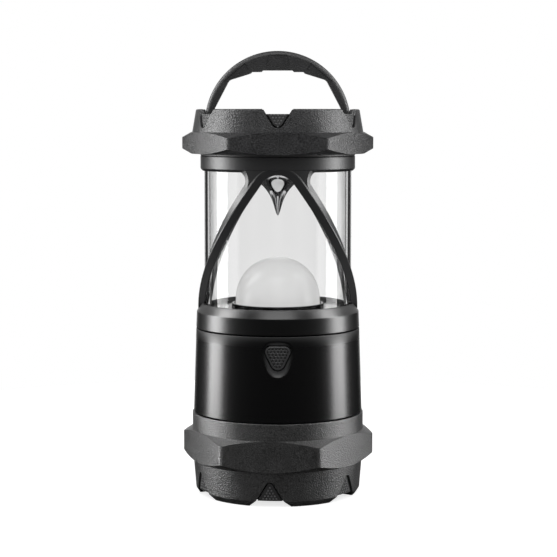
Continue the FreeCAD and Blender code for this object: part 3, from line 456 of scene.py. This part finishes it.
def sink_aluminium():
    """Drawn aluminium, with upright marks."""
    return metal("sink aluminium", (0.72, 0.73, 0.74), roughness=0.4, grain=0.4 * MM, depth=0.006 * MM,
                 stretch=(1.0, 1.0, 0.1))


jacket_coat = 0.5


def cell_jacket():
    """Plain printed film on a metal can."""
    mat = moulded("cell jacket", (0.08, 0.13, 0.22), roughness=0.3, grain=1.2 * MM, depth=0.004 * MM)
    set_inputs(shader_of(mat), {"Coat Weight": jacket_coat})
    return mat


def circuit_board():
    return moulded("circuit board", (0.012, 0.09, 0.04), roughness=0.4, grain=0.5 * MM, depth=0.01 * MM,
                   mottle=0.3)


def component_plastic():
    return moulded("component plastic", (0.02, 0.02, 0.02), roughness=0.5, grain=0.2 * MM, depth=0.01 * MM)


def light_chip():
    return moulded("light chip", (0.72, 0.6, 0.16), roughness=0.35, grain=0.2 * MM, depth=0.01 * MM)


def lead_insulation():
    return moulded("lead insulation", (0.35, 0.02, 0.015), roughness=0.45, grain=0.3 * MM, depth=0.01 * MM)


# What each finish is on

FINISHES = {
    cap_guard_plastic: ["top_bumper"],
    foot_guard_shaded_plastic: ["base_bumper"],
    core_plastic: ["base_core", "cap_body"],
    cage_plastic: ["guard_cage"],
    body_plastic: ["body_shell"],
    bail_plastic: ["bail_handle"],
    button_rubber: ["power_button"],
    seal_rubber: ["base_oring", "base_pad", "lens_seal_bottom", "lens_seal_top"],
    deck_plastic: ["light_deck"],
    clear_lens: ["lens_tube"],
    white_diffuser: ["led_dome"],
    mirror_reflector: ["reflector"],
    carrier_plastic: ["carrier_top_plate", "carrier_bottom_plate", "carrier_core"],
    screw_steel: ["bail_pivots", "cap_screws", "carrier_screws", "deck_screws", "housing_screws",
                  "led_board_screws"],
    spring_steel: ["cell_springs", "contact_springs"],
    contact_brass: ["cell_contacts", "carrier_terminals"],
    sink_aluminium: ["heat_sink", "led_board"],
    cell_jacket: ["battery_cells"],
    circuit_board: ["driver_board", "switch_board"],
    component_plastic: ["driver_components", "tact_switch", "switch_plunger"],
    light_chip: ["led_chips"],
    lead_insulation: ["led_leads"],
}

crease_angle = math.radians(28)


def dress(obj, mat):
    """Gives an object one material and smooth shading with crisp edges."""
    obj.data.materials.clear()
    obj.data.materials.append(mat)
    obj.data.shade_smooth()
    obj.data.set_sharp_from_angle(angle=crease_angle)


for finish, names in FINISHES.items():
    finish_material = finish()
    for name in names:
        dress(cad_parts[name], finish_material)


# Dimpled pad on the button

button_top = 71.15 * MM
button_half_width = 7.1 * MM
button_drop = 14.2 * MM
button_round = 2.5 * MM
button_tip_round = 3.0 * MM
button_lean = math.atan(button_half_width / button_drop)
button_tip = button_top - button_drop
button_tip_centre = button_tip + button_tip_round / math.sin(button_lean)
button_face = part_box("power_button")[0].y
pad_inset = 0.87 * MM
pad_sink = 0.1 * MM
pad_groove = 0.34 * MM
pad_slope = 0.3 * MM
pit_pitch = 1.52 * MM
pit_row = 1.31 * MM
pit_radius = 0.58 * MM
pit_depth = 0.36 * MM
pad_columns = 96
pad_rows = 96


def pad_half_width(z, inset):
    """Half the width of the button's rounded triangle at a height, taken in by inset."""
    sine, cosine = math.sin(button_lean), math.cos(button_lean)
    tip_radius = button_tip_round - inset
    if z < button_tip_centre - tip_radius * sine:
        return math.sqrt(max(tip_radius ** 2 - (z - button_tip_centre) ** 2, 0.0))
    radius = button_round - inset
    centre = button_top - button_round
    if z > centre - radius * sine:
        corner = ((centre - button_tip) * sine - button_round) / cosine
        return corner + math.sqrt(max(radius ** 2 - (z - centre) ** 2, 0.0))
    return ((z - button_tip) * sine - inset) / cosine


def pad_depth(x, z, edge):
    """How far the pad lies behind the button's rim: rows of round pits, and a groove along its edge."""
    row = round((button_top - z) / pit_row)
    shift = pit_pitch / 2 * (row % 2)
    pit_x = round((x - shift) / pit_pitch) * pit_pitch + shift
    pit_z = button_top - row * pit_row
    reach = math.hypot(x - pit_x, z - pit_z) / pit_radius
    pit = pit_depth * max(1 - reach ** 2, 0.0)
    groove = pad_groove * max(1 - edge / pad_slope, 0.0)
    return pad_sink + max(pit, groove)


def mesh_object(name, points, faces):
    """A new object from points and faces, in the part's frame."""
    mesh = bpy.data.meshes.new(name)
    mesh.from_pydata(points, [], faces)
    mesh.validate()
    obj = bpy.data.objects.new(name, mesh)
    bpy.context.scene.collection.objects.link(obj)
    return obj


def grid_faces(columns, rows):
    """Faces of a sheet of points laid out row by row."""
    wide = columns + 1
    return [(r * wide + c, r * wide + c + 1, (r + 1) * wide + c + 1, (r + 1) * wide + c)
            for r in range(rows) for c in range(columns)]


def button_pad():
    """A sheet inside the button's rim, row by row from the top to the tip."""
    high = button_top - pad_inset
    low = button_tip_centre - button_tip_round + pad_inset
    points = []
    for r in range(pad_rows + 1):
        z = high + (low - high) * r / pad_rows
        half = pad_half_width(z, pad_inset)
        for c in range(pad_columns + 1):
            x = half * (2 * c / pad_columns - 1)
            edge = min(half - abs(x), high - z, z - low)
            points.append((x, button_face + pad_depth(x, z, edge), z))
    return mesh_object("button_pad", points, grid_faces(pad_columns, pad_rows))


pad = button_pad()
dress(pad, pad_rubber(button_face + pad_sink, button_face + pad_sink + pit_depth))
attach(pad, "button")


# Studs on the pads in the notches

stud_pitch = 1.45 * MM
stud_row = 1.25 * MM
stud_first_row = 0.7
stud_radius = 0.48 * MM
stud_height = 0.3 * MM
stud_root = 0.05 * MM
stud_sides = 8
notch_count = 6

# Each ring of a stud: its share of the stud's radius, and how far it stands out of the wall
STUD_RINGS = ((1.0, -stud_root), (0.9, 0.5 * stud_height), (0.5, 0.9 * stud_height))


def stud(points, faces, angle, z, wall):
    """One low dome standing out of a round wall."""
    first = len(points)
    for share, rise in STUD_RINGS:
        for i in range(stud_sides):
            turn = 2 * math.pi * i / stud_sides
            around = angle + share * stud_radius * math.cos(turn) / wall
            out = wall + rise
            points.append((out * math.cos(around), out * math.sin(around),
                           z + share * stud_radius * math.sin(turn)))
    top = first + (len(STUD_RINGS) - 1) * stud_sides
    for start in range(first, top, stud_sides):
        for i in range(stud_sides):
            j = (i + 1) % stud_sides
            faces.append((start + i, start + j, start + stud_sides + j, start + stud_sides + i))
    faces.append(tuple(range(top, top + stud_sides)))


def studded_pads(name, wall, first_angle, low, high, half_width):
    """Staggered rows of studs on each notch's pad, whose face is at wall(z) and reaches to half_width(z)."""
    points, faces = [], []
    for notch in range(notch_count):
        middle = math.radians(first_angle + 360.0 / notch_count * notch)
        for row in range(int((high - low) / stud_row)):
            z = low + stud_row * (row + stud_first_row)
            shift = stud_pitch / 2 * (row % 2)
            reach = half_width(z) - stud_radius
            columns = int(reach / stud_pitch + 1)
            for column in range(-columns, columns + 1):
                across = column * stud_pitch + shift
                if abs(across) < reach:
                    stud(points, faces, middle + across / wall(z), z, wall(z))
    return mesh_object(name, points, faces)


# The notches and their pads, as in the solids, with angles in degrees
front_angle = -90.0
notch_pad_edge = 1.1 * MM
notch_pad_drop = 0.7 * MM
foot_notch_turn = -5.4
foot_notch_bottom = 2.8 * MM
foot_notch_half_width = 6.1 * MM
foot_notch_slope = 0.577
foot_radius = 37.4 * MM
foot_bevel_height = 2.4 * MM
foot_flare = 1.1 * MM
foot_flare_height = 13.2 * MM
cap_top = 174.0 * MM
cap_collar_top = 171.8 * MM
cap_notch_half_width = 6.75 * MM
cap_notch_slope = 0.61
cap_top_radius = 36.8 * MM
cap_flare = 1.9 * MM
cap_flare_height = 11.0 * MM


def foot_pad_wall(z):
    """Radius of the foot's pads at a height."""
    return foot_radius + foot_flare * (z - foot_bevel_height) / foot_flare_height - notch_pad_drop


def foot_pad_half_width(z):
    """Half the width of a pad in the foot, which narrows upwards."""
    return foot_notch_half_width - (z - foot_notch_bottom) * foot_notch_slope - notch_pad_edge


def cap_pad_wall(z):
    """Radius of the cap's pads at a height."""
    return cap_top_radius + cap_flare * (cap_top - z) / cap_flare_height - notch_pad_drop


def cap_pad_half_width(z):
    """Half the width of a pad in the cap, which narrows downwards."""
    return cap_notch_half_width - (cap_top - z) * cap_notch_slope - notch_pad_edge


foot_studs = studded_pads("foot_studs", foot_pad_wall, foot_notch_turn + front_angle, foot_notch_bottom,
                          foot_notch_bottom + foot_notch_half_width / foot_notch_slope, foot_pad_half_width)
cap_studs = studded_pads("cap_studs", cap_pad_wall, front_angle,
                         cap_top - cap_notch_half_width / cap_notch_slope, cap_collar_top, cap_pad_half_width)
# Painted light: the studs are coloured paler than the core around them
stud_painted_light = stud_painted_light_plastic()
for studs, body in ((foot_studs, "base"), (cap_studs, "housing")):
    dress(studs, stud_painted_light)
    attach(studs, body)


# Floor

floor_radius = 0.33
floor_sides = 96
floor_cloud_size = 0.05
floor_dark = (0.5, 0.5, 0.5)
floor_light = (0.52, 0.52, 0.52)
floor_glow = 0.75


def floor_paint():
    """Pale matt paint that shows white to the camera where nothing shades it."""
    mat, shader = new_material("floor paint")
    tree = mat.node_tree
    set_inputs(shader, {"Roughness": 0.9, "Specular IOR Level": 0.0, "Emission Color": grey(1.0)})
    tint = blend_colours(tree, noise(tree, floor_cloud_size), floor_dark, floor_light)
    seen = worked_out(tree, "MULTIPLY", add(tree, "LightPath").outputs["Is Camera Ray"], floor_glow)
    tree.links.new(tint, shader.inputs["Base Color"])
    tree.links.new(seen, shader.inputs["Emission Strength"])
    return mat


def floor():
    """A disc under the lantern that takes its shadow, left out of gloss and of what the lens shows."""
    bpy.ops.mesh.primitive_circle_add(vertices=floor_sides, radius=floor_radius, fill_type="NGON")
    disc = bpy.context.object
    disc.name = "floor"
    disc.data.materials.append(floor_paint())
    disc.visible_shadow = False
    disc.visible_glossy = False
    disc.visible_transmission = False


floor()


# Studio lamps: metres, watts and degrees

strip_distance = 0.9
strip_level = 0.65
strip_width = 0.4
strip_height = 1.5
left_strip_turn = -95
left_strip_power = 28.0
right_strip_turn = 91.5
right_strip_power = 22.6
top_box_place = (0.0, -0.62, 0.95)
top_box_width = 0.75
top_box_height = 0.4
top_box_power = 5.0
lantern_middle = 0.1


def soft_box(name, place, width, height, power, aim_level):
    """A soft box that faces the lantern. It makes gloss, and the soft light comes from the room."""
    lamp = bpy.data.lights.new(name, "AREA")
    lamp.shape = "RECTANGLE"
    lamp.size = width
    lamp.size_y = height
    lamp.energy = power
    obj = bpy.data.objects.new(name, lamp)
    obj.location = place
    aim = Vector((0.0, 0.0, aim_level)) - obj.location
    obj.rotation_euler = aim.to_track_quat("-Z", "Y").to_euler()
    obj.visible_camera = False
    obj.visible_diffuse = False
    obj.visible_transmission = False
    bpy.context.scene.collection.objects.link(obj)


def strip_light(name, turn, power):
    """A tall soft box beside the lantern, turned from the camera's side by an angle."""
    angle = math.radians(turn)
    place = (strip_distance * math.sin(angle), -strip_distance * math.cos(angle), strip_level)
    soft_box(name, place, strip_width, strip_height, power, strip_level)


strip_light("left_strip", left_strip_turn, left_strip_power)
strip_light("right_strip", right_strip_turn, right_strip_power)
soft_box("top_box", top_box_place, top_box_width, top_box_height, top_box_power, lantern_middle)


# Studio room

def band(tree, value, rise, fall, level):
    """A level where a value is past its rise and short of its fall, and nothing beyond them."""
    return worked_out(tree, "MULTIPLY", graded(tree, value, rise, (0.0, level)),
                      graded(tree, value, fall, (1.0, 0.0)))


def soft_light(tree, away, up):
    """Soft light on matt surfaces: more from above and from the camera's side."""
    from_above = graded(tree, up, (-1.0, 0.6), (0.1, 0.95))
    from_front = graded(tree, away, (0.3, -1.0), (0.0, 0.55))
    return worked_out(tree, "ADD", from_above, from_front)


def room_in_gloss(tree, away, up):
    """What gloss shows: a dark room, white behind the lantern, grey above that, and a pale band all round."""
    behind = graded(tree, away, (0.9, 0.985), (0.03, 1.0))
    above_floor = graded(tree, up, (-0.35, -0.12), WHOLE)
    wall = worked_out(tree, "MULTIPLY", behind, above_floor)
    far_half = graded(tree, away, (0.3, 0.5), (0.0, 0.5))
    above_lantern = graded(tree, up, (0.06, 0.16), WHOLE)
    high_wall = worked_out(tree, "MULTIPLY", far_half, above_lantern)
    pale_band = band(tree, up, rise=(0.22, 0.4), fall=(0.6, 0.8), level=0.3)
    return worked_out(tree, "MAXIMUM", worked_out(tree, "MAXIMUM", wall, high_wall), pale_band)


def card_in_lens(tree, across):
    """What gloss inside the lens shows: a white card in the middle and one to each side."""
    aside = worked_out(tree, "ABSOLUTE", across)
    middle_card = graded(tree, aside, (0.08, 0.2), (0.9, 0.03))
    side_cards = band(tree, aside, rise=(0.5, 0.56), fall=(0.66, 0.74), level=0.8)
    return worked_out(tree, "ADD", middle_card, side_cards)


# A count of bounces is at least one where it is past this
ANY_BOUNCE = 0.5


def studio_world():
    """White to look at, soft light on matt surfaces, and a room for gloss to show."""
    world = bpy.data.worlds.new("studio")
    bpy.context.scene.world = world
    world.use_nodes = True
    world.cycles.sampling_method = "NONE"
    tree = world.node_tree
    split = add(tree, "SeparateXYZ")
    tree.links.new(add(tree, "TexCoord").outputs["Generated"], split.inputs["Vector"])
    across, away, up = (split.outputs[axis] for axis in "XYZ")
    path = add(tree, "LightPath").outputs

    through_lens = worked_out(tree, "GREATER_THAN", path["Transmission Depth"], ANY_BOUNCE)
    mirrored = chosen(tree, through_lens, room_in_gloss(tree, away, up), card_in_lens(tree, across))
    glossy = worked_out(tree, "GREATER_THAN", path["Glossy Depth"], ANY_BOUNCE)
    white = worked_out(tree, "MAXIMUM", path["Is Camera Ray"], path["Is Transmission Ray"])
    seen = chosen(tree, glossy, white, mirrored)
    level = chosen(tree, path["Is Diffuse Ray"], seen, soft_light(tree, away, up))
    tree.links.new(level, tree.nodes["Background"].inputs["Strength"])
    set_inputs(tree.nodes["Background"], {"Color": grey(1.0)})


studio_world()
bpy.context.scene.view_settings.view_transform = "Standard"


# Camera, at the photograph's viewing angle

camera_place = Vector((0.0, -769.5, 170.35)) * MM
camera_target = Vector((0.0, 0.0, 97.4)) * MM
camera_lens = 109.85
camera_sensor = 36.0
camera_shift = 0.0013


def camera():
    """The scene's camera, looking at its target."""
    data = bpy.data.cameras.new("camera")
    data.lens = camera_lens
    data.sensor_width = camera_sensor
    data.shift_x = camera_shift
    obj = bpy.data.objects.new("camera", data)
    obj.location = camera_place
    obj.rotation_euler = (camera_target - camera_place).to_track_quat("-Z", "Y").to_euler()
    bpy.context.scene.collection.objects.link(obj)
    bpy.context.scene.camera = obj


camera()
